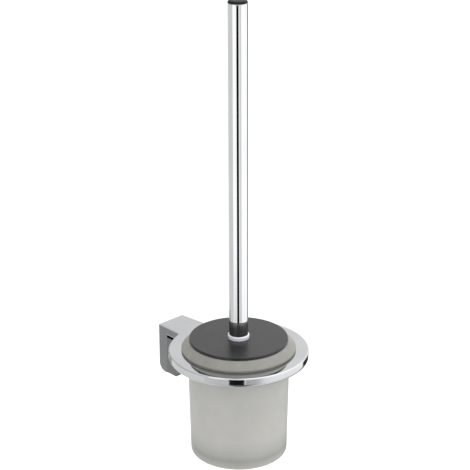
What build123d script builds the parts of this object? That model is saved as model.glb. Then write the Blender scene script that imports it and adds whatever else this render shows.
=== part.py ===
from build123d import *
import os
from math import cos, radians, sin

os.makedirs("parts", exist_ok=True)

# A wall-mounted toilet brush set: a chrome bracket with a ring, a frosted glass cup that hangs in it,
# and a brush with a lid and a long tube handle.
# Millimetres, +Z up. The wall is the plane Y = 0 and the set stands out from it towards -Y.
# The origin lies on the wall, midway between the two wall screws.
# Levels named *_LEVEL are heights above the flat top of the bracket's ring.

# ---- driving dimensions: shared ------------------------------------------------------------------
RUN_ON = 2.0                # how far a joined shape runs on into its neighbour
CUT_PAST = 1.0              # how far a cut runs past the face that it opens

# ---- driving dimensions: bracket -----------------------------------------------------------------
SCREW_SPACING = 24.0        # between the two wall screws, one above the other
SCREW_R = 2.6               # clearance hole of a 5 mm wall screw
SCREW_HEAD_R = 5.0          # counterbore for its head
TOP_Z = 28.5                # flat top of arm and ring
REACH = 96.5                # wall to the ring's axis
PLATE = 9.9                 # thickness of the arm and of the ring
PLATE_ROUND = 3.8           # rounded lower edge of both
TOP_ROUND = 1.2             # rounded upper edge of both
LEG_W = 32.8                # width of leg and arm at the wall
LEG_H = 49.7                # leg's height, arm included
LEG_DEPTH = 11.4            # leg's depth out from the wall
LEG_CORNER_R = 8.5          # rounded lower corner at the wall
LEG_FRONT_R = 1.2           # rounded upright edges beside the cover
FLARE = 1.8 / 30.7          # how fast each side of arm, leg and cover spreads away from the wall
RING_R = 68.0               # ring's outer radius
BORE_R = 53.4               # ring's bore
DISH_DROP = 0.25            # slight fall of the ring's top from its edge to the bore
LEDGE_LEVEL = -10.3         # ledge in the bore that the seat ring stands on
LEDGE_R = 51.8
HUB_R = 56.4                # short skirt under the ring, around the bore
HUB_LEVEL = -12.1
SKIRT_SLOPE = 2.5           # how far the skirt's root spreads
ARM_BLEND = 2.4             # hollow blend between arm and ring

# ---- driving dimensions: rail and screw cover ----------------------------------------------------
SLIT = 0.9                  # gap between the arm's underside and the cover
COVER_INSET = 0.45          # cover's sides stand back from the arm's sides
COVER_FRONT = 25.2          # cover's front face, out from the wall
COVER_WALL = 2.2
COVER_FLOOR = 4.5           # thicker floor that holds the grub screw
COVER_PLAY = 0.1            # between the cover's back edges and the leg
COVER_CORNER_R = 0.8        # rounded upright edges at the front
COVER_BACK_R = 0.3          # and beside the leg
COVER_CHAMFER = 0.3         # broken edges round the floor
RAIL_NECK_W, RAIL_HEAD_W = 18.0, 23.0
RAIL_NECK, RAIL_HEAD = 2.4, 3.0
RAIL_TOP_LEVEL = -11.5
SLIDE_GAP = 0.3             # clearance all round the rail
GRUB_R = 2.0                # M4 grub screw
GRUB_HEX = 2.0
GRUB_PLAY = 0.05
GRUB_CHAMFER = 0.3

# ---- driving dimensions: seat ring and cup -------------------------------------------------------
SEAT_INNER_R = 50.2
SEAT_TOP_LEVEL = -0.35
SEAT_PLAY = 0.1             # between seat ring and bore
SEAT_EDGE_R = 0.4
FLANGE_LEVEL = -0.2          # flat underside of the glass flange
FLANGE_R = 55.4
FLANGE_EDGE = 2.2           # height of the flange's upright edge, below the bevel
FLANGE_EDGE_R = 0.5         # rounding of that edge
RIM_EDGE_R = 0.6            # rounding of the flat rim's two edges
CUP_RIM_LEVEL = 8.9
CUP_RIM_R = 48.4            # outer radius of the flat rim, at the top of the bevel
CUP_MOUTH_R = 45.2
CUP_TOP_R = 49.5            # body's outer radius under the flange
CUP_BASE_R = 47.2           # body's outer radius at its foot
CUP_BASE_LEVEL = -108.9
CUP_FLOOR = 6.0
CUP_WALL = 4.3
CUP_FOOT_R = 3.8            # rounding round the foot
CUP_INNER_R = 9.0           # rounding round the floor inside

# ---- driving dimensions: lid and handle ----------------------------------------------------------
LID_R = 47.7
LID_LEVEL = 9.05            # lid's underside
LID_T = 2.75
LID_EDGE_R = 0.5
LID_LIP_R, LID_LIP_T, LID_LIP_H = 44.4, 2.0, 5.0
BASE_RING_R, BASE_RING_H = 10.4, 3.75
BASE_RING_EDGE_R = 0.9
TUBE_R, TUBE_WALL = 9.25, 1.0
TUBE_EDGE = 0.25            # softened rims of tube and collar
COLLAR_GAP = 0.15
TUBE_LEVEL = 29.5           # tube's lower end
TUBE_TOP_LEVEL = 339.7      # tube's upper end
CAP_H = 2.4                 # plug's rounded head above the tube
CAP_RIM = 0.1               # upright edge left under the rounding
PLUG_LENGTH = 18.0
SPIGOT_LENGTH = 26.0
SPIGOT_CHAMFER = 1.0
SPIGOT_R = TUBE_R - TUBE_WALL

# ---- driving dimensions: stem and brush ----------------------------------------------------------
STEM_R = 4.0
STEM_TOP_LEVEL = 47.5
STEM_BOTTOM_LEVEL = -46.5
STEM_CHAMFER = 0.8
BORE_PLAY = 0.1             # radial play of the stem in lid and base ring
WASHER_R, WASHER_T = 9.0, 1.2
NUT_FLATS, NUT_H = 13.0, 6.5
CORE_R = 9.0
CORE_TOP_LEVEL, CORE_BOTTOM_LEVEL = -16.5, -90.5
CORE_NECK_R, CORE_NECK_LEVEL = 6.5, -28.5
CORE_SHOULDER = 2.0         # height of the cone between neck and core
SOCKET_GAP = 0.2            # between the stem's end and the floor of the core's socket
BRUSH_R = 36.0
TUFT_ROWS, TUFTS_PER_ROW = 10, 14
TUFT_ROOT_R, TUFT_TIP_R = 1.15, 2.1
TUFT_TOP_LEVEL, TUFT_BOTTOM_LEVEL = -34.5, -78.5
TUFT_ROOT_DEPTH = 2.5
TIP_RINGS = ((70.0, 12), (30.0, 5), (0.0, 1))   # angle from straight down, number of tufts
TIP_REACH = 12.0            # how far the tip's tufts reach below the centre of the core's round end

AXIS_POINT = (0, -REACH)


def level(height):
    """The horizontal plane at a height above the ring's top, centred on the ring's axis."""
    return Plane((0, -REACH, TOP_Z + height))


# Upright plane through the ring's axis: local x is the radius, local y the level.
SECTION = Plane((0, -REACH, TOP_Z), x_dir=(1, 0, 0), z_dir=(0, -1, 0))
RING_AXIS = Axis((0, -REACH, TOP_Z), (0, 0, 1))


def half_width(out):
    """Half the width of arm and leg at a distance out from the wall."""
    return LEG_W / 2 + FLARE * out


def flared(near, far, inset=0.0):
    """Corner points of a plan that spreads with the arm between two distances from the wall."""
    wide_near, wide_far = half_width(near) - inset, half_width(far) - inset
    return [(-wide_near, -near), (wide_near, -near), (wide_far, -far), (-wide_far, -far)]


# ---- ring bracket: leg, arm and ring cast in one -------------------------------------------------
ARM_END = REACH - BORE_R + RUN_ON             # arm's plan ends inside the bore, which cuts it off
RAIL_BOTTOM_LEVEL = COVER_FLOOR + SLIDE_GAP - LEG_H
RAIL_FRONT = LEG_DEPTH + RAIL_NECK + RAIL_HEAD
DISH_R = RING_R - TOP_ROUND                   # the dish starts where the rounded edge ends

with BuildPart() as ring_bracket:
    with BuildSketch(Plane.XY.offset(TOP_Z)) as plate_plan:
        with BuildLine():
            Polyline(flared(0, ARM_END), close=True)
        make_face()
        with Locations(AXIS_POINT):
            Circle(RING_R)
        fillet(plate_plan.vertices().sort_by(Axis.Y)[-4:-2], ARM_BLEND)
    extrude(amount=-PLATE)
    fillet(ring_bracket.faces().sort_by(Axis.Z)[0].edges().sort_by(Axis.Y)[:-1], PLATE_ROUND)
    with BuildSketch(Plane.XY.offset(TOP_Z - PLATE / 2)) as leg_plan:
        with BuildLine():
            Polyline(flared(0, LEG_DEPTH), close=True)
        make_face()
        fillet(leg_plan.vertices().group_by(Axis.Y)[0], LEG_FRONT_R)
    extrude(amount=PLATE / 2 - LEG_H)
    lowest = ring_bracket.edges().filter_by(Axis.X).group_by(Axis.Z)[0]
    fillet(lowest.sort_by(Axis.Y)[-1], LEG_CORNER_R)
    fillet(ring_bracket.faces().sort_by(Axis.Z)[-1].edges().sort_by(Axis.Y)[:-1], TOP_ROUND)

    # skirt under the ring, then the bore and the slight dish around it cut through both
    with BuildSketch(SECTION):
        with BuildLine():
            Polyline(
                (LEDGE_R, -PLATE / 2), (HUB_R + SKIRT_SLOPE, -PLATE / 2), (HUB_R + SKIRT_SLOPE, -PLATE),
                (HUB_R, HUB_LEVEL), (LEDGE_R, HUB_LEVEL), close=True,
            )
        make_face()
    revolve(axis=RING_AXIS)
    with BuildSketch(SECTION):
        with BuildLine():
            Polyline(
                (DISH_R, 0), (BORE_R, -DISH_DROP), (BORE_R, LEDGE_LEVEL), (LEDGE_R, LEDGE_LEVEL),
                (LEDGE_R, HUB_LEVEL - CUT_PAST), (0, HUB_LEVEL - CUT_PAST), (0, CUT_PAST),
                (DISH_R, CUT_PAST), close=True,
            )
        make_face()
    revolve(axis=RING_AXIS, mode=Mode.SUBTRACT)

    # rail on the leg's front that the screw cover slides on
    with BuildSketch(Plane.XY.offset(TOP_Z + RAIL_TOP_LEVEL)):
        with Locations((0, -LEG_DEPTH - RAIL_NECK / 2)):
            Rectangle(RAIL_NECK_W, RAIL_NECK)
        with Locations((0, -RAIL_FRONT + RAIL_HEAD / 2)):
            Rectangle(RAIL_HEAD_W, RAIL_HEAD)
    extrude(amount=RAIL_BOTTOM_LEVEL - RAIL_TOP_LEVEL)

    # two wall screw holes, counterbored from the rail's front
    with Locations(Plane((0, -RAIL_FRONT, 0), x_dir=(1, 0, 0), z_dir=(0, -1, 0))):
        with GridLocations(0, SCREW_SPACING, 1, 2):
            CounterBoreHole(SCREW_R, SCREW_HEAD_R, RAIL_FRONT - LEG_DEPTH / 2)
ring_bracket.part.label = "ring_bracket"
export_step(ring_bracket.part, "parts/ring_bracket.step")

# ---- screw cover: a box open behind and above, with two lips that grip the rail ------------------
COVER_BACK = LEG_DEPTH + COVER_PLAY
COVER_TOP_LEVEL = -PLATE - SLIT
COVER_H = LEG_H + COVER_TOP_LEVEL
LIP_BACK = LEG_DEPTH + SLIDE_GAP
LIP_FRONT = LEG_DEPTH + RAIL_NECK - SLIDE_GAP
GRUB_OUT = LEG_DEPTH + RAIL_NECK + RAIL_HEAD / 2

with BuildPart() as screw_cover:
    with BuildSketch(Plane.XY.offset(TOP_Z - LEG_H)) as cover_plan:
        with BuildLine():
            Polyline(flared(COVER_BACK, COVER_FRONT, COVER_INSET), close=True)
        make_face()
        fillet(cover_plan.vertices().group_by(Axis.Y)[0], COVER_CORNER_R)
        fillet(cover_plan.vertices().group_by(Axis.Y)[-1], COVER_BACK_R)
    extrude(amount=COVER_H)
    with BuildSketch(Plane.XY.offset(TOP_Z - LEG_H + COVER_FLOOR)):
        with BuildLine():
            Polyline(flared(COVER_BACK, COVER_FRONT - COVER_WALL, COVER_INSET + COVER_WALL), close=True)
        make_face()
    extrude(amount=COVER_H, mode=Mode.SUBTRACT)
    with BuildSketch(Plane.XY.offset(TOP_Z - LEG_H + COVER_FLOOR / 2)):
        for side in (-1, 1):
            lip_edge = side * (RAIL_NECK_W / 2 + SLIDE_GAP)
            lip_root = side * (half_width(COVER_BACK) - COVER_INSET - COVER_WALL / 2)
            with BuildLine():
                Polyline(
                    (lip_edge, -LIP_BACK), (lip_root, -LIP_BACK), (lip_root, -LIP_FRONT),
                    (lip_edge, -LIP_FRONT), close=True,
                )
            make_face()
    extrude(amount=COVER_H - COVER_FLOOR / 2 - SLIT)
    with Locations(Plane((0, -GRUB_OUT, TOP_Z - LEG_H))):
        Hole(GRUB_R + GRUB_PLAY)
    chamfer(screw_cover.faces().sort_by(Axis.Z)[0].outer_wire().edges(), COVER_CHAMFER)
screw_cover.part.label = "screw_cover"
export_step(screw_cover.part, "parts/screw_cover.step")

with BuildPart() as cover_screw:
    with BuildSketch(Plane((0, -GRUB_OUT, TOP_Z - LEG_H + SLIDE_GAP))):
        Circle(GRUB_R)
    extrude(amount=COVER_FLOOR - SLIDE_GAP)
    chamfer(cover_screw.edges().filter_by(GeomType.CIRCLE), GRUB_CHAMFER)
    with BuildSketch(Plane((0, -GRUB_OUT, TOP_Z - LEG_H + SLIDE_GAP))):
        RegularPolygon(GRUB_HEX / 2, 6, major_radius=False)
    extrude(amount=COVER_FLOOR / 2, mode=Mode.SUBTRACT)
cover_screw.part.label = "cover_screw"
export_step(cover_screw.part, "parts/cover_screw.step")

# ---- seat ring: plastic sleeve between metal ring and glass --------------------------------------
with BuildPart() as seat_ring:
    with BuildSketch(SECTION) as seat_profile:
        with BuildLine():
            Polyline(
                (SEAT_INNER_R, LEDGE_LEVEL), (BORE_R - SEAT_PLAY, LEDGE_LEVEL),
                (BORE_R - SEAT_PLAY, SEAT_TOP_LEVEL), (SEAT_INNER_R, SEAT_TOP_LEVEL), close=True,
            )
        make_face()
        fillet(seat_profile.vertices(), SEAT_EDGE_R)
    revolve(axis=RING_AXIS)
seat_ring.part.label = "seat_ring"
export_step(seat_ring.part, "parts/seat_ring.step")

# ---- frosted glass cup ---------------------------------------------------------------------------
with BuildPart() as glass_cup:
    with BuildSketch(SECTION) as cup_outside:
        with BuildLine():
            Polyline(
                (0, CUP_BASE_LEVEL), (CUP_BASE_R, CUP_BASE_LEVEL), (CUP_TOP_R, FLANGE_LEVEL),
                (FLANGE_R, FLANGE_LEVEL), (FLANGE_R, FLANGE_LEVEL + FLANGE_EDGE),
                (CUP_RIM_R, CUP_RIM_LEVEL), (0, CUP_RIM_LEVEL), close=True,
            )
        make_face()
        fillet(cup_outside.vertices().sort_by(Axis.X)[-2:], FLANGE_EDGE_R)
        fillet(cup_outside.vertices().group_by(Axis.Y)[0].sort_by(Axis.X)[-1], CUP_FOOT_R)
    revolve(axis=RING_AXIS)
    with BuildSketch(SECTION) as cup_inside:
        with BuildLine():
            Polyline(
                (0, CUP_BASE_LEVEL + CUP_FLOOR), (CUP_BASE_R - CUP_WALL, CUP_BASE_LEVEL + CUP_FLOOR),
                (CUP_MOUTH_R, FLANGE_LEVEL), (CUP_MOUTH_R, CUP_RIM_LEVEL + CUT_PAST),
                (0, CUP_RIM_LEVEL + CUT_PAST), close=True,
            )
        make_face()
        fillet(cup_inside.vertices().group_by(Axis.Y)[0].sort_by(Axis.X)[-1], CUP_INNER_R)
    revolve(axis=RING_AXIS, mode=Mode.SUBTRACT)
    fillet(glass_cup.faces().filter_by(Axis.Z).sort_by(Axis.Z)[-1].edges(), RIM_EDGE_R)
glass_cup.part.label = "glass_cup"
export_step(glass_cup.part, "parts/glass_cup.step")

# ---- lid: thin disc with a centring lip underneath -----------------------------------------------
LID_TOP_LEVEL = LID_LEVEL + LID_T

with BuildPart() as lid:
    with BuildSketch(level(LID_LEVEL)):
        Circle(LID_R)
    extrude(amount=LID_T)
    fillet(lid.edges().filter_by(GeomType.CIRCLE), LID_EDGE_R)
    with BuildSketch(level(LID_LEVEL + LID_T / 2)):
        Circle(LID_LIP_R)
        Circle(LID_LIP_R - LID_LIP_T, mode=Mode.SUBTRACT)
    extrude(amount=-LID_LIP_H - LID_T / 2)
    with Locations(level(LID_TOP_LEVEL)):
        Hole(STEM_R + BORE_PLAY)
lid.part.label = "lid"
export_step(lid.part, "parts/lid.step")

with BuildPart() as base_ring:
    with BuildSketch(level(LID_TOP_LEVEL)):
        Circle(BASE_RING_R)
    extrude(amount=BASE_RING_H)
    fillet(base_ring.faces().sort_by(Axis.Z)[-1].edges(), BASE_RING_EDGE_R)
    with Locations(level(LID_TOP_LEVEL + BASE_RING_H)):
        Hole(STEM_R + BORE_PLAY)
base_ring.part.label = "base_ring"
export_step(base_ring.part, "parts/base_ring.step")

# ---- handle: collar with a spigot, tube, and plug ------------------------------------------------
COLLAR_LEVEL = LID_TOP_LEVEL + BASE_RING_H + COLLAR_GAP

with BuildPart() as collar:
    with BuildSketch(level(COLLAR_LEVEL)):
        Circle(TUBE_R)
    extrude(amount=TUBE_LEVEL - COLLAR_LEVEL)
    chamfer(collar.edges().filter_by(GeomType.CIRCLE), TUBE_EDGE)
    with BuildSketch(level(TUBE_LEVEL)):
        Circle(SPIGOT_R)
    extrude(amount=SPIGOT_LENGTH)
    chamfer(collar.edges().filter_by(GeomType.CIRCLE).group_by(Axis.Z)[-1], SPIGOT_CHAMFER)
    with BuildSketch(level(COLLAR_LEVEL)):
        Circle(STEM_R)
    extrude(amount=STEM_TOP_LEVEL - COLLAR_LEVEL, mode=Mode.SUBTRACT)
collar.part.label = "collar"
export_step(collar.part, "parts/collar.step")

with BuildPart() as handle_tube:
    with BuildSketch(level(TUBE_LEVEL)):
        Circle(TUBE_R)
        Circle(TUBE_R - TUBE_WALL, mode=Mode.SUBTRACT)
    extrude(amount=TUBE_TOP_LEVEL - TUBE_LEVEL)
    outer_rims = handle_tube.edges().filter_by(GeomType.CIRCLE).group_by(SortBy.RADIUS)[-1]
    fillet(outer_rims, TUBE_EDGE)
handle_tube.part.label = "handle_tube"
export_step(handle_tube.part, "parts/handle_tube.step")

with BuildPart() as handle_cap:
    with BuildSketch(level(TUBE_TOP_LEVEL)):
        Circle(TUBE_R)
    extrude(amount=CAP_H)
    fillet(handle_cap.faces().sort_by(Axis.Z)[-1].edges(), CAP_H - CAP_RIM)
    with BuildSketch(level(TUBE_TOP_LEVEL)):
        Circle(SPIGOT_R)
    extrude(amount=-PLUG_LENGTH)
    chamfer(handle_cap.edges().filter_by(GeomType.CIRCLE).group_by(Axis.Z)[0], SPIGOT_CHAMFER)
handle_cap.part.label = "handle_cap"
export_step(handle_cap.part, "parts/handle_cap.step")

# ---- stem, washer and nut ------------------------------------------------------------------------
with BuildPart() as stem:
    with BuildSketch(level(STEM_BOTTOM_LEVEL)):
        Circle(STEM_R)
    extrude(amount=STEM_TOP_LEVEL - STEM_BOTTOM_LEVEL)
    chamfer(stem.edges().filter_by(GeomType.CIRCLE), STEM_CHAMFER)
stem.part.label = "stem"
export_step(stem.part, "parts/stem.step")

WASHER_LEVEL = LID_LEVEL - COLLAR_GAP

with BuildPart() as lid_washer:
    with BuildSketch(level(WASHER_LEVEL)):
        Circle(WASHER_R)
        Circle(STEM_R + BORE_PLAY, mode=Mode.SUBTRACT)
    extrude(amount=-WASHER_T)
lid_washer.part.label = "lid_washer"
export_step(lid_washer.part, "parts/lid_washer.step")

with BuildPart() as lid_nut:
    with BuildSketch(level(WASHER_LEVEL - WASHER_T)):
        RegularPolygon(NUT_FLATS / 2, 6, major_radius=False)
        Circle(STEM_R, mode=Mode.SUBTRACT)
    extrude(amount=-NUT_H)
lid_nut.part.label = "lid_nut"
export_step(lid_nut.part, "parts/lid_nut.step")

# ---- brush head: core and tufts ------------------------------------------------------------------
ROUND_END_LEVEL = CORE_BOTTOM_LEVEL + CORE_R
SOCKET_R = STEM_R + BORE_PLAY
SOCKET_LEVEL = STEM_BOTTOM_LEVEL - SOCKET_GAP

with BuildPart() as brush_core:
    with BuildSketch(SECTION):
        with BuildLine():
            Polyline(
                (SOCKET_R, CORE_TOP_LEVEL), (CORE_NECK_R, CORE_TOP_LEVEL),
                (CORE_NECK_R, CORE_NECK_LEVEL),
                (CORE_R, CORE_NECK_LEVEL - CORE_SHOULDER), (CORE_R, ROUND_END_LEVEL),
            )
            RadiusArc((CORE_R, ROUND_END_LEVEL), (0, CORE_BOTTOM_LEVEL), CORE_R)
            Polyline(
                (0, CORE_BOTTOM_LEVEL), (0, SOCKET_LEVEL), (SOCKET_R, SOCKET_LEVEL),
                (SOCKET_R, CORE_TOP_LEVEL),
            )
        make_face()
    revolve(axis=RING_AXIS)
brush_core.part.label = "brush_core"
export_step(brush_core.part, "parts/brush_core.step")

TUFT_ROOT = CORE_R - TUFT_ROOT_DEPTH           # where a tuft starts, out from the core's centre
ROW_PITCH = (TUFT_TOP_LEVEL - TUFT_BOTTOM_LEVEL) / (TUFT_ROWS - 1)
ON_END = (Align.CENTER, Align.CENTER, Align.MIN)

with BuildPart() as bristles:
    for row in range(TUFT_ROWS):
        turn = 180 / TUFTS_PER_ROW * (row % 2)
        with Locations(level(TUFT_BOTTOM_LEVEL + row * ROW_PITCH)):
            with PolarLocations(TUFT_ROOT, TUFTS_PER_ROW, start_angle=turn):
                Cone(TUFT_ROOT_R, TUFT_TIP_R, BRUSH_R - TUFT_ROOT, rotation=(0, 90, 0), align=ON_END)
    for angle, count in TIP_RINGS:
        along, across = cos(radians(angle)), sin(radians(angle))
        with Locations(level(ROUND_END_LEVEL - TUFT_ROOT * along)):
            with PolarLocations(TUFT_ROOT * across, count):
                Cone(
                    TUFT_ROOT_R, TUFT_TIP_R, TIP_REACH / along - TUFT_ROOT,
                    rotation=(0, 180 - angle, 0), align=ON_END,
                )
bristles.part.label = "bristles"
export_step(bristles.part, "parts/bristles.step")
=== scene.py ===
import random
from math import cos, pi, radians, sin, tau

import bmesh
import bpy
from mathutils import Matrix, Vector


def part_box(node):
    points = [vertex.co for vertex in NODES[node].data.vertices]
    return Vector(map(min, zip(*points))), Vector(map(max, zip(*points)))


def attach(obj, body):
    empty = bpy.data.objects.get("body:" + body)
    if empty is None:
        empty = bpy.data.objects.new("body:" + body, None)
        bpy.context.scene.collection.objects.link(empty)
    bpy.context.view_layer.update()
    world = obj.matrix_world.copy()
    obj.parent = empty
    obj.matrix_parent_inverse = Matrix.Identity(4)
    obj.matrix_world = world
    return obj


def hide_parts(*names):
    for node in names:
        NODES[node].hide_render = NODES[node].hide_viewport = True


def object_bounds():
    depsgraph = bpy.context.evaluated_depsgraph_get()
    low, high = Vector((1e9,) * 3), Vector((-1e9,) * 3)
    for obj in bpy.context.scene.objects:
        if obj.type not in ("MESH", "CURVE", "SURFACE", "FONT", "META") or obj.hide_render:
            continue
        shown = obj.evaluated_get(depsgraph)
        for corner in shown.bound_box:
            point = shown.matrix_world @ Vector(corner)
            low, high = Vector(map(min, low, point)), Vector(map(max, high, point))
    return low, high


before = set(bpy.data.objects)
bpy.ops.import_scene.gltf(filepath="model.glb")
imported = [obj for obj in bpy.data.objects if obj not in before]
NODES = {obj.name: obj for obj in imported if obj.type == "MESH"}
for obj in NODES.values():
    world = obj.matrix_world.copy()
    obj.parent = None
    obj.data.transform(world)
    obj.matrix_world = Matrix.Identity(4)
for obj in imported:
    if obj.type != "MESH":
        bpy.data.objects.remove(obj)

# Looks of the wall-mounted toilet brush set: metres, +Z up, wall at Y = 0, object towards -Y.
CAD_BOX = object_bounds()


# ---- places worked out from the frame ------------------------------------------------------------
def middle(node):
    """Centre of a CAD node's box."""
    low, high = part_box(node)
    return (low + high) / 2


def radius(node):
    """Half the width of a round CAD node."""
    low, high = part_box(node)
    return (high.x - low.x) / 2


AXIS = middle("handle_tube").xy                       # upright axis of cup, lid and handle
RING_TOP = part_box("ring_bracket")[1].z                # flat top of arm and ring
CUP_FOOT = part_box("glass_cup")[0].z

# ---- camera --------------------------------------------------------------------------------------
CAMERA_DISTANCE = 1.3885        # level distance from the ring's axis
CAMERA_RISE = 0.6552            # above the ring's flat top
CAMERA_SIDE = radians(-45)      # round from straight in front of the wall
CAMERA_YAW = radians(0.13)
CAMERA_PITCH = radians(-21.172)
CAMERA_ROLL = radians(-0.214)
CAMERA_LENS = 121.07
SENSOR = 36.0
CAMERA_CLIP = 0.05, 100.0

# ---- studio --------------------------------------------------------------------------------------
FLOOR_DROP = 0.9                # floor below the lowest point of the set
FLOOR_SIZE = 40.0
FLOOR_WHITE = 0.95
# What the chrome reflects. Each row is an angle in degrees round from the camera's side of the set,
# positive to the camera's right, and the brightness there; between rows it changes evenly.
BAND_LEVEL = (                  # from a little under level down to the softboxes' lower edges
    (-180, 1.0), (-64, 1.02), (-59, 1.8), (-17, 1.7), (-15.5, 0.01), (8.5, 0.01), (10, 1.5),
    (18, 1.4), (28, 1.0), (37, 1.2), (42, 1.8), (128, 1.7), (132, 0.04), (158, 0.04), (163, 1.0),
    (180, 1.0),
)
BAND_LOW = (                    # under the softboxes, down to the floor
    (-180, 0.95), (-62, 0.95), (-56, 0.78), (-18, 0.75), (-15, 0.17), (12, 0.17), (24, 0.5),
    (40, 0.9), (60, 1.1), (128, 1.1), (134, 0.05), (158, 0.05), (164, 0.95), (180, 0.95),
)
BAND_HIGH = (                   # above BAND_LEVEL, from a little under level upwards
    (-180, 1.0), (-165, 0.8), (-120, 0.68), (-64, 0.68), (-54, 1.4), (-32, 1.4),
    (-22, 0.85), (0, 0.9), (55, 1.3), (70, 1.45), (125, 1.45), (155, 1.4), (174, 1.2),
    (180, 1.0),
)
# How deep the softboxes and flags reach: sine of the angle below level.
BAND_EDGE = (
    (-180, 0.46), (-70, 0.46), (-60, 0.41), (-18, 0.41), (-15, 0.5), (9, 0.5), (12, 0.43),
    (128, 0.43), (133, 0.48), (180, 0.46),
)
# The next three are sines of the angle above level.
EDGE_SOFTNESS = 0.1             # how wide BAND_LEVEL fades into BAND_LOW
HORIZON_LOW, HORIZON_HIGH = -0.22, -0.1     # between these BAND_LEVEL fades into BAND_HIGH
ZENITH_FROM = 0.45              # from here up the sky brightens
ZENITH = 1.5                    # the sky's brightness overhead, as a share of that near the horizon
BACKDROP = 1.02                 # plain white that the camera sees in place of the studio
# A grey card close to the leg's left side, seen only in reflections.
CARD_OFF = 0.026                # from the screw cover's side
CARD_LONG, CARD_TALL = 0.092, 0.085
CARD_BACK = 0.012               # its centre behind the wall's plane
CARD_DROP = 0.042               # and below the ring's top
CARD_LEVEL = 0.4

# ---- material levels -----------------------------------------------------------------------------
NOISE_LOW, NOISE_HIGH = 0.3, 0.7    # the range that a noise texture mostly covers
FOOT_SHADE_REACH = 0.03         # how far up from the thick foot its painted shade reaches
FOOT_SHADE_RAMP = (                  # painted shade near the foot: height above the foot as a share of that reach, brightness
    (0.0, 0.9), (0.12, 0.85), (0.33, 0.66), (0.47, 0.79), (0.7, 0.9), (1.0, 1.0),
)
# Heights above the ring's top between which the glass changes, first from its body to the ground
# edge of the flange, then from that edge, painted in shade, to the lighter bevel.
GLASS_FLANGE = (-0.001, 0.0004)
GLASS_EDGE_SHADE = (0.001, 0.0024)

# ---- pieces made here ----------------------------------------------------------------------------
TUBE_WALL = 0.001
TUBE_EDGE = 0.00025             # rounding of the tube's ends
TUBE_SUPPORT = 4 * TUBE_EDGE    # a row of points this far from each end keeps the rounding crisp
TUBE_SHARP, STEM_SHARP = radians(40), radians(30)   # edges sharper than this aren't smoothed
TURNS = 192                     # faces round a turned piece
ARC_STEPS = 4                   # faces along a small rounding
THREAD_PITCH = 0.00125
THREAD_DEPTH = 0.00055
THREAD_ROWS, THREAD_SIDES = 8, 40   # rows to a pitch, and faces round
PLAIN_STEPS = 4                 # thread rows that one step along the plain rod spans
# Levels above the ring's top: upper and lower end of the nut's thread, upper end of the core's.
THREAD_TOP, THREAD_PLAIN, THREAD_LOW = 0.009, -0.012, -0.0355
ROD_CHAMFER = 0.0008
BRISTLE_SEED = 11
TUFT_ROWS, TUFTS_PER_ROW = 10, 14
TUFT_TOP, TUFT_BOTTOM = -0.0345, -0.0785    # levels of the highest and lowest row
CORE_ROUND_LEVEL = -0.0815      # centre of the core's round end
CORE_R = 0.009
TUFT_SET_IN = 0.0012            # how deep the tufts sit in the core
TIP_RINGS = ((70.0, 12), (30.0, 5), (0.0, 1))   # angle from straight down, number of tufts
TIP_REACH = 0.0118              # how far below the round end's centre those tufts reach
FILAMENTS = 24                  # in each tuft
FILAMENT_R = 0.00019
FILAMENT_STEPS, FILAMENT_SIDES = 4, 3
TUFT_ROOT_R, TUFT_TIP_R = 0.001, 0.0026
TRIM = 0.0012                   # how much shorter than its tuft a filament is at most
TRIM_LEAST = 0.3                # and at least, as a share of that


# ---- node helpers --------------------------------------------------------------------------------
def link(tree, output, socket):
    """Connects an output to an input."""
    tree.links.new(output, socket)


def math_node(tree, operation, first, second=None):
    """A Math node on two inputs, each a socket or a number."""
    node = tree.nodes.new("ShaderNodeMath")
    node.operation = operation
    for index, value in enumerate((first, second)):
        if value is None:
            continue
        if isinstance(value, bpy.types.NodeSocket):
            link(tree, value, node.inputs[index])
        else:
            node.inputs[index].default_value = value
    return node.outputs[0]


def remap(tree, value, low, high, to_low=0.0, to_high=1.0, smooth=False):
    """A value's range changed to another, and kept inside it."""
    node = tree.nodes.new("ShaderNodeMapRange")
    node.interpolation_type = "SMOOTHSTEP" if smooth else "LINEAR"
    for name, number in (
        ("From Min", low), ("From Max", high), ("To Min", to_low), ("To Max", to_high),
    ):
        node.inputs[name].default_value = number
    link(tree, value, node.inputs["Value"])
    return node.outputs["Result"]


def mixed(tree, factor, first, second):
    """Two colours mixed: each is a socket or a colour."""
    node = tree.nodes.new("ShaderNodeMix")
    node.data_type = "RGBA"
    link(tree, factor, node.inputs["Factor"])
    for name, value in (("A", first), ("B", second)):
        socket = [s for s in node.inputs if s.name == name and s.type == "RGBA"][0]
        if isinstance(value, bpy.types.NodeSocket):
            link(tree, value, socket)
        else:
            socket.default_value = (*value, 1)
    return [s for s in node.outputs if s.type == "RGBA"][0]


def ramp(tree, value, stops):
    """A grey ramp through (position, level) stops."""
    node = tree.nodes.new("ShaderNodeValToRGB")
    elements = node.color_ramp.elements
    elements.remove(elements[-1])
    for index, (position, level) in enumerate(stops):
        stop = elements[0] if index == 0 else elements.new(position)
        stop.position = position
        stop.color = (level, level, level, 1)
    link(tree, value, node.inputs["Fac"])
    return node.outputs["Color"]


def object_place(tree):
    """The shaded point's place in the object's own frame, which is the CAD's."""
    return tree.nodes.new("ShaderNodeTexCoord").outputs["Object"]


def patches(tree, scale, detail=2.0, stretch=(1, 1, 1)):
    """A cloudy pattern fixed to the object, from 0 to 1."""
    mapping = tree.nodes.new("ShaderNodeMapping")
    mapping.inputs["Scale"].default_value = stretch
    link(tree, object_place(tree), mapping.inputs["Vector"])
    noise = tree.nodes.new("ShaderNodeTexNoise")
    noise.inputs["Scale"].default_value = scale
    noise.inputs["Detail"].default_value = detail
    link(tree, mapping.outputs["Vector"], noise.inputs["Vector"])
    return remap(tree, noise.outputs["Fac"], NOISE_LOW, NOISE_HIGH)


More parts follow.
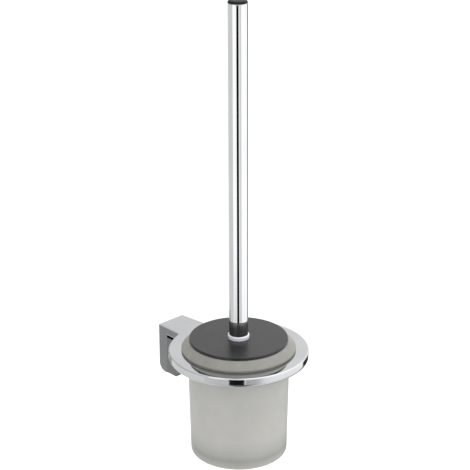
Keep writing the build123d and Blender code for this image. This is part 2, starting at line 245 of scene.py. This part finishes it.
def height_above(tree, level):
    """Height of the shaded point above a level."""
    parts = tree.nodes.new("ShaderNodeSeparateXYZ")
    link(tree, object_place(tree), parts.inputs[0])
    return math_node(tree, "SUBTRACT", parts.outputs["Z"], level)


def surface(name, metallic=0.0, **constants):
    """A new material, its node tree and its shader. Constants are inputs, with _ for a space."""
    material = bpy.data.materials.new(name)
    material.use_nodes = True
    tree = material.node_tree
    shader = tree.nodes["Principled BSDF"]
    shader.inputs["Metallic"].default_value = metallic
    for key, value in constants.items():
        shader.inputs[key.replace("_", " ")].default_value = value
    return material, tree, shader


def colour(tree, shader, factor, first, second):
    """Base colour between two, by a pattern."""
    link(tree, mixed(tree, factor, first, second), shader.inputs["Base Color"])


def gloss(tree, shader, factor, low, high):
    """Roughness between two values, by a pattern."""
    link(tree, remap(tree, factor, 0.0, 1.0, low, high), shader.inputs["Roughness"])


def relief(tree, shader, height, depth):
    """Fine relief from a pattern, with its depth in metres."""
    bump = tree.nodes.new("ShaderNodeBump")
    bump.inputs["Distance"].default_value = depth
    link(tree, height, bump.inputs["Height"])
    link(tree, bump.outputs["Normal"], shader.inputs["Normal"])


# ---- materials -----------------------------------------------------------------------------------
def chrome_casting(name, dark=(0.535, 0.54, 0.552), light=(0.575, 0.58, 0.59)):
    """Chrome over a cast and polished body: a hint of waviness, faint smudges."""
    material, tree, shader = surface(name, metallic=1.0)
    colour(tree, shader, patches(tree, 30), dark, light)
    gloss(tree, shader, patches(tree, 70, 5.0), 0.045, 0.1)
    relief(tree, shader, patches(tree, 45, 3.0), 0.00003)
    return material


def chrome_tube():
    """Chrome on drawn tube: faint polishing marks run along it."""
    material, tree, shader = surface("chrome_tube", metallic=1.0)
    along = (1, 1, 0.04)
    colour(tree, shader, patches(tree, 22), (0.545, 0.55, 0.558), (0.575, 0.578, 0.585))
    gloss(tree, shader, patches(tree, 420, 4.0, along), 0.03, 0.075)
    relief(tree, shader, patches(tree, 300, 2.0, along), 0.0000009)
    return material


def silver_trim():
    """Satin silver lacquer with faint turning marks round it."""
    material, tree, shader = surface("silver_trim", metallic=0.2)
    around = (0.1, 0.1, 12)
    colour(tree, shader, patches(tree, 60), (0.82, 0.81, 0.87), (0.9, 0.89, 0.95))
    gloss(tree, shader, patches(tree, 500, 4.0, around), 0.34, 0.46)
    relief(tree, shader, patches(tree, 700, 2.0, around), 0.000004)
    return material


def steel():
    """Plain bright-drawn steel."""
    material, tree, shader = surface("steel", metallic=1.0)
    colour(tree, shader, patches(tree, 160, 4.0), (0.5, 0.49, 0.47), (0.6, 0.6, 0.59))
    gloss(tree, shader, patches(tree, 900, 4.0), 0.22, 0.4)
    relief(tree, shader, patches(tree, 1500, 2.0), 0.000008)
    return material


def frosted_glass():
    """Etched glass: a soft fine grain, with painted shade near the thick foot and along the ground
    flange's lowest edge.
    """
    material, tree, shader = surface(
        "frosted_glass", IOR=1.5, Subsurface_Weight=0.25,
        Subsurface_Radius=(0.004, 0.0042, 0.0038), Subsurface_Scale=1.0,
    )
    body = mixed(tree, patches(tree, 40, 3.0), (0.392, 0.389, 0.367), (0.422, 0.419, 0.396))
    # painted shade: the body darkens towards black near the foot, deepest about a third of the way
    # up that reach
    foot = ramp(tree, remap(tree, height_above(tree, CUP_FOOT), 0.0, FOOT_SHADE_REACH), FOOT_SHADE_RAMP)
    flange = remap(tree, height_above(tree, RING_TOP), *GLASS_FLANGE)
    black, edge_shade_colour = (0.0, 0.0, 0.0), (0.19, 0.187, 0.172)
    shaded = mixed(tree, foot, black, body)
    bevel = mixed(tree, patches(tree, 120, 4.0), (0.236, 0.232, 0.213), (0.262, 0.258, 0.238))
    # painted shade on the flange's lowest edge, which the chrome ring mirrors as a dark band
    edge = remap(tree, height_above(tree, RING_TOP), *GLASS_EDGE_SHADE)
    bevel_with_edge_shade = mixed(tree, edge, edge_shade_colour, bevel)
    colour(tree, shader, flange, shaded, bevel_with_edge_shade)
    gloss(tree, shader, patches(tree, 200, 4.0), 0.42, 0.56)
    relief(tree, shader, patches(tree, 2600, 3.0), 0.00002)
    return material


def black_plastic(name="black_plastic", roughness=(0.27, 0.35), index=1.46):
    """Moulded black plastic with a very fine satin texture."""
    material, tree, shader = surface(name, IOR=index)
    colour(tree, shader, patches(tree, 50, 4.0), (0.008, 0.008, 0.0085), (0.013, 0.013, 0.013))
    gloss(tree, shader, patches(tree, 260, 5.0), *roughness)
    relief(tree, shader, patches(tree, 3000, 2.0), 0.000006)
    return material


def grey_plastic():
    """Dull dark grey plastic of the seat ring."""
    material, tree, shader = surface("grey_plastic", IOR=1.48)
    colour(tree, shader, patches(tree, 90, 4.0), (0.05, 0.05, 0.048), (0.07, 0.07, 0.066))
    gloss(tree, shader, patches(tree, 300, 4.0), 0.45, 0.6)
    relief(tree, shader, patches(tree, 2200, 2.0), 0.00001)
    return material


def white_plastic():
    """Moulded white plastic of the brush's core."""
    material, tree, shader = surface(
        "white_plastic", IOR=1.48, Subsurface_Weight=0.1, Subsurface_Radius=(0.002, 0.0018, 0.0016),
    )
    colour(tree, shader, patches(tree, 60, 4.0), (0.74, 0.74, 0.72), (0.82, 0.82, 0.8))
    gloss(tree, shader, patches(tree, 260, 4.0), 0.32, 0.46)
    relief(tree, shader, patches(tree, 1800, 2.0), 0.000012)
    return material


def white_nylon():
    """Nylon filaments: slightly see-through and glossy, no two quite the same white."""
    material, tree, shader = surface(
        "white_nylon", IOR=1.53, Subsurface_Weight=0.2, Subsurface_Radius=(0.001, 0.001, 0.001),
    )
    colour(tree, shader, patches(tree, 900, 2.0), (0.72, 0.73, 0.72), (0.86, 0.87, 0.86))
    gloss(tree, shader, patches(tree, 1200, 2.0), 0.22, 0.38)
    return material


def finish_nodes():
    """Every CAD node that is shown gets its material. Gives back the steel, for the stem."""
    casting = chrome_casting("chrome_casting")
    cover = chrome_casting("chrome_cover", (0.43, 0.43, 0.415), (0.47, 0.47, 0.455))
    silver, metal, glass = silver_trim(), steel(), frosted_glass()
    black, grey, white = black_plastic(), grey_plastic(), white_plastic()
    polished = black_plastic("black_plastic_polished", (0.16, 0.22), 2.5)
    dull = black_plastic("black_plastic_dull", (0.35, 0.45), 1.22)
    for material, names in (
        (casting, ("ring_bracket",)), (cover, ("screw_cover",)), (silver, ("base_ring",)),
        (metal, ("cover_screw", "lid_washer", "lid_nut")), (glass, ("glass_cup",)),
        (black, ("lid",)), (polished, ("collar",)), (dull, ("handle_cap",)),
        (grey, ("seat_ring",)), (white, ("brush_core",)),
    ):
        for name in names:
            NODES[name].data.materials.clear()
            NODES[name].data.materials.append(material)
    return metal


# ---- mesh helpers --------------------------------------------------------------------------------
def piece(name, shape, material, body, replaced):
    """A smooth-shaded object from a bmesh, riding on a body in place of a CAD node."""
    mesh = bpy.data.meshes.new(name)
    bmesh.ops.recalc_face_normals(shape, faces=shape.faces)
    for face in shape.faces:
        face.smooth = True
    shape.to_mesh(mesh)
    shape.free()
    mesh.materials.append(material)
    made = bpy.data.objects.new(name, mesh)
    bpy.context.scene.collection.objects.link(made)
    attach(made, body)
    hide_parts(replaced)
    return made


def bridge(shape, first, second):
    """Faces between two closed rows of the same number of points."""
    count = len(first)
    for index in range(count):
        after = (index + 1) % count
        shape.faces.new((first[index], first[after], second[after], second[index]))


def circle_row(shape, reach, z, sides=TURNS):
    """A level row of points round the axis; reach is a number or a function of the angle."""
    row = []
    for index in range(sides):
        angle = tau * index / sides
        out = reach(angle) if callable(reach) else reach
        row.append(shape.verts.new((AXIS.x + out * cos(angle), AXIS.y + out * sin(angle), z)))
    return row


def rounding(r, z, edge, outward, upward):
    """Outline points of a small rounding at (r, z), from the wall's side to the end's side."""
    points = []
    for step in range(ARC_STEPS + 1):
        angle = pi / 2 * step / ARC_STEPS
        inset, drop = edge * (1 - cos(angle)), edge * (1 - sin(angle))
        points.append((r - outward * inset, z - upward * drop))
    return points


def sharp_by_angle(made, limit):
    """Keeps the mesh smooth except at edges sharper than a limit."""
    shape = bmesh.new()
    shape.from_mesh(made.data)
    for edge in shape.edges:
        if len(edge.link_faces) == 2 and edge.calc_face_angle() > limit:
            edge.smooth = False
    shape.to_mesh(made.data)
    shape.free()


# ---- handle tube ---------------------------------------------------------------------------------
def make_tube():
    """The drawn tube, closely faceted so that reflections run straight along it."""
    low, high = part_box("handle_tube")
    outer = radius("handle_tube")
    inner = outer - TUBE_WALL
    foot, top = low.z + TUBE_SUPPORT, high.z - TUBE_SUPPORT
    outline = [(outer, foot), (outer, top)]
    outline += rounding(outer, high.z, TUBE_EDGE, 1, 1)
    outline += [(inner, high.z), (inner, top), (inner, foot), (inner, low.z)]
    outline += reversed(rounding(outer, low.z, TUBE_EDGE, 1, -1))
    shape = bmesh.new()
    rows = [circle_row(shape, r, z) for r, z in outline]
    for first, second in zip(rows, rows[1:] + rows[:1]):
        bridge(shape, first, second)
    made = piece("handle_tube_drawn", shape, chrome_tube(), "brush", "handle_tube")
    sharp_by_angle(made, TUBE_SHARP)


# ---- stem ----------------------------------------------------------------------------------------
def make_stem(material):
    """Steel rod, threaded where the nut sits and where the brush's core screws on."""
    low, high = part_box("stem")
    crest = radius("stem")
    root = crest - THREAD_DEPTH
    step = THREAD_PITCH / THREAD_ROWS

    def threaded(z):
        in_core = low.z < z < RING_TOP + THREAD_LOW
        at_nut = RING_TOP + THREAD_PLAIN < z < RING_TOP + THREAD_TOP
        return in_core or at_nut

    shape = bmesh.new()
    rows = [circle_row(shape, crest - ROD_CHAMFER, low.z, THREAD_SIDES)]
    z = low.z + ROD_CHAMFER
    while z < high.z - ROD_CHAMFER:
        cut = threaded(z)

        def reach(angle, z=z, cut=cut):
            phase = (z / THREAD_PITCH - angle / tau) % 1.0
            return root + THREAD_DEPTH * abs(2 * phase - 1) if cut else crest

        rows.append(circle_row(shape, reach, z, THREAD_SIDES))
        z += step if cut or threaded(z + PLAIN_STEPS * step) else PLAIN_STEPS * step
    rows.append(circle_row(shape, crest, high.z - ROD_CHAMFER, THREAD_SIDES))
    rows.append(circle_row(shape, crest - ROD_CHAMFER, high.z, THREAD_SIDES))
    for first, second in zip(rows, rows[1:]):
        bridge(shape, first, second)
    shape.faces.new(rows[0])
    shape.faces.new(rows[-1])
    made = piece("stem_threaded", shape, material, "brush", "stem")
    sharp_by_angle(made, STEM_SHARP)


# ---- bristles ------------------------------------------------------------------------------------
def filament(shape, start, end, bow):
    """A thin closed rod from start to end that bows a little sideways."""
    along = (end - start).normalized()
    side = along.orthogonal().normalized()
    over = along.cross(side)
    rows = []
    for step in range(FILAMENT_STEPS + 1):
        share = step / FILAMENT_STEPS
        centre = start.lerp(end, share) + bow * sin(pi * share / 2) ** 2 * (1 - share * share)
        row = []
        for corner in range(FILAMENT_SIDES):
            angle = tau * corner / FILAMENT_SIDES
            offset = (side * cos(angle) + over * sin(angle)) * FILAMENT_R
            row.append(shape.verts.new(centre + offset))
        rows.append(row)
    for first, second in zip(rows, rows[1:]):
        bridge(shape, first, second)
    shape.faces.new(rows[0])
    shape.faces.new(rows[-1])


def tuft(shape, draw, centre, direction, root, tip):
    """A tuft of filaments from the core's surface outwards."""
    side = direction.orthogonal().normalized()
    over = direction.cross(side)
    for _ in range(FILAMENTS):
        angle, share = draw.uniform(0, tau), draw.random() ** 0.5
        across = side * cos(angle) + over * sin(angle)
        start = centre + direction * root + across * share * TUFT_ROOT_R
        length = tip - draw.uniform(TRIM_LEAST, 1.0) * TRIM
        end = centre + direction * length + across * share * TUFT_TIP_R
        bow = Vector([draw.uniform(-1, 1) for _ in range(3)]) * TUFT_ROOT_R
        filament(shape, start, end, bow)


def make_bristles():
    """Rows of tufts round the core and a few at its round end."""
    draw = random.Random(BRISTLE_SEED)
    root = CORE_R - TUFT_SET_IN
    reach = radius("bristles")
    spread = TUFT_TIP_R + FILAMENT_R
    trimmed = (reach * reach - spread * spread) ** 0.5  # a tuft's middle; its rim then stays inside
    shape = bmesh.new()
    for row in range(TUFT_ROWS):
        z = RING_TOP + TUFT_BOTTOM + (TUFT_TOP - TUFT_BOTTOM) * row / (TUFT_ROWS - 1)
        centre = Vector((AXIS.x, AXIS.y, z))
        for index in range(TUFTS_PER_ROW):
            angle = tau * (index + row % 2 / 2) / TUFTS_PER_ROW
            tuft(shape, draw, centre, Vector((cos(angle), sin(angle), 0)), root, trimmed)
    centre = Vector((AXIS.x, AXIS.y, RING_TOP + CORE_ROUND_LEVEL))
    for lean, count in TIP_RINGS:
        down, out = cos(radians(lean)), sin(radians(lean))
        for index in range(count):
            angle = tau * index / count
            direction = Vector((out * cos(angle), out * sin(angle), -down))
            tip = min(TIP_REACH / down, trimmed)
            tuft(shape, draw, centre, direction, root, tip)
    piece("bristle_filaments", shape, white_nylon(), "brush_head", "bristles")


# ---- camera and studio ---------------------------------------------------------------------------
def make_camera():
    """The photograph's camera, placed from the ring's axis and top."""
    data = bpy.data.cameras.new("camera")
    data.lens = CAMERA_LENS
    data.sensor_width = SENSOR
    data.clip_start, data.clip_end = CAMERA_CLIP
    camera = bpy.data.objects.new("camera", data)
    eye = Vector((
        AXIS.x + CAMERA_DISTANCE * sin(CAMERA_SIDE),
        AXIS.y - CAMERA_DISTANCE * cos(CAMERA_SIDE),
        RING_TOP + CAMERA_RISE,
    ))
    turn = Matrix.Rotation(CAMERA_SIDE + CAMERA_YAW, 4, "Z")
    tilt = Matrix.Rotation(pi / 2 + CAMERA_PITCH, 4, "X")
    roll = Matrix.Rotation(CAMERA_ROLL, 4, "Z")
    camera.matrix_world = Matrix.Translation(eye) @ turn @ tilt @ roll
    bpy.context.scene.collection.objects.link(camera)
    bpy.context.scene.camera = camera


def make_world():
    """The studio round the set, as a brightness for each direction."""
    world = bpy.data.worlds.new("studio")
    bpy.context.scene.world = world
    world.use_nodes = True
    tree = world.node_tree
    tree.nodes.clear()
    direction = tree.nodes.new("ShaderNodeTexCoord").outputs["Generated"]
    parts = tree.nodes.new("ShaderNodeSeparateXYZ")
    link(tree, direction, parts.inputs[0])
    forward = math_node(tree, "MULTIPLY", parts.outputs["Y"], -1.0)
    angle = math_node(tree, "ARCTAN2", parts.outputs["X"], forward)
    from_behind = math_node(tree, "SUBTRACT", angle, CAMERA_SIDE - pi)
    share = math_node(tree, "FRACT", math_node(tree, "DIVIDE", from_behind, tau))

    def band(rows):
        return ramp(tree, share, [((degrees + 180) / 360, level) for degrees, level in rows])

    above_edge = math_node(tree, "ADD", parts.outputs["Z"], band(BAND_EDGE))
    near_level = remap(tree, above_edge, -EDGE_SOFTNESS / 2, EDGE_SOFTNESS / 2, smooth=True)
    sky_share = remap(tree, parts.outputs["Z"], HORIZON_LOW, HORIZON_HIGH, smooth=True)
    lower = mixed(tree, near_level, band(BAND_LOW), band(BAND_LEVEL))
    lift = remap(tree, parts.outputs["Z"], ZENITH_FROM, 1.0, 1.0, ZENITH)
    everywhere = mixed(tree, sky_share, lower, band(BAND_HIGH))
    background = tree.nodes.new("ShaderNodeBackground")
    link(tree, everywhere, background.inputs["Color"])
    link(tree, lift, background.inputs["Strength"])
    backdrop = tree.nodes.new("ShaderNodeBackground")
    backdrop.inputs["Color"].default_value = (1, 1, 1, 1)
    backdrop.inputs["Strength"].default_value = BACKDROP
    seen = tree.nodes.new("ShaderNodeMixShader")
    link(tree, tree.nodes.new("ShaderNodeLightPath").outputs["Is Camera Ray"], seen.inputs[0])
    link(tree, background.outputs[0], seen.inputs[1])
    link(tree, backdrop.outputs[0], seen.inputs[2])
    output = tree.nodes.new("ShaderNodeOutputWorld")
    link(tree, seen.outputs[0], output.inputs["Surface"])


def stage_grid(name, size_x, size_y):
    """A flat stage piece centred on its origin."""
    mesh = bpy.data.meshes.new(name)
    shape = bmesh.new()
    bmesh.ops.create_grid(shape, x_segments=1, y_segments=1, size=0.5)
    bmesh.ops.scale(shape, vec=(size_x, size_y, 1), verts=shape.verts)
    shape.to_mesh(mesh)
    shape.free()
    made = bpy.data.objects.new(name, mesh)
    bpy.context.scene.collection.objects.link(made)
    return made


def make_floor():
    """The pale floor, which reflections don't show."""
    floor = stage_grid("floor", FLOOR_SIZE, FLOOR_SIZE)
    floor.location.z = CAD_BOX[0].z - FLOOR_DROP
    white = (FLOOR_WHITE, FLOOR_WHITE, FLOOR_WHITE, 1)
    material, _, _ = surface("floor", Roughness=0.9, Base_Color=white)
    floor.data.materials.append(material)
    floor.visible_glossy = False


def make_card():
    """Grey card beside the leg, which gives the leg's side its darker tone."""
    low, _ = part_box("screw_cover")
    card = stage_grid("grey_card", CARD_TALL, CARD_LONG)
    card.rotation_euler = (0, pi / 2, 0)
    card.location = (low.x - CARD_OFF, CARD_BACK, RING_TOP - CARD_DROP)
    material = bpy.data.materials.new("grey_card")
    material.use_nodes = True
    tree = material.node_tree
    tree.nodes.clear()
    glow = tree.nodes.new("ShaderNodeEmission")
    glow.inputs["Color"].default_value = (CARD_LEVEL, CARD_LEVEL, CARD_LEVEL, 1)
    output = tree.nodes.new("ShaderNodeOutputMaterial")
    link(tree, glow.outputs[0], output.inputs["Surface"])
    card.data.materials.append(material)
    card.visible_camera = False
    card.visible_diffuse = False
    card.visible_shadow = False
    card.visible_transmission = False


make_camera()
make_world()
make_floor()
make_card()
bpy.context.scene.view_settings.view_transform = "Standard"

steel_material = finish_nodes()
make_tube()
make_stem(steel_material)
make_bristles()
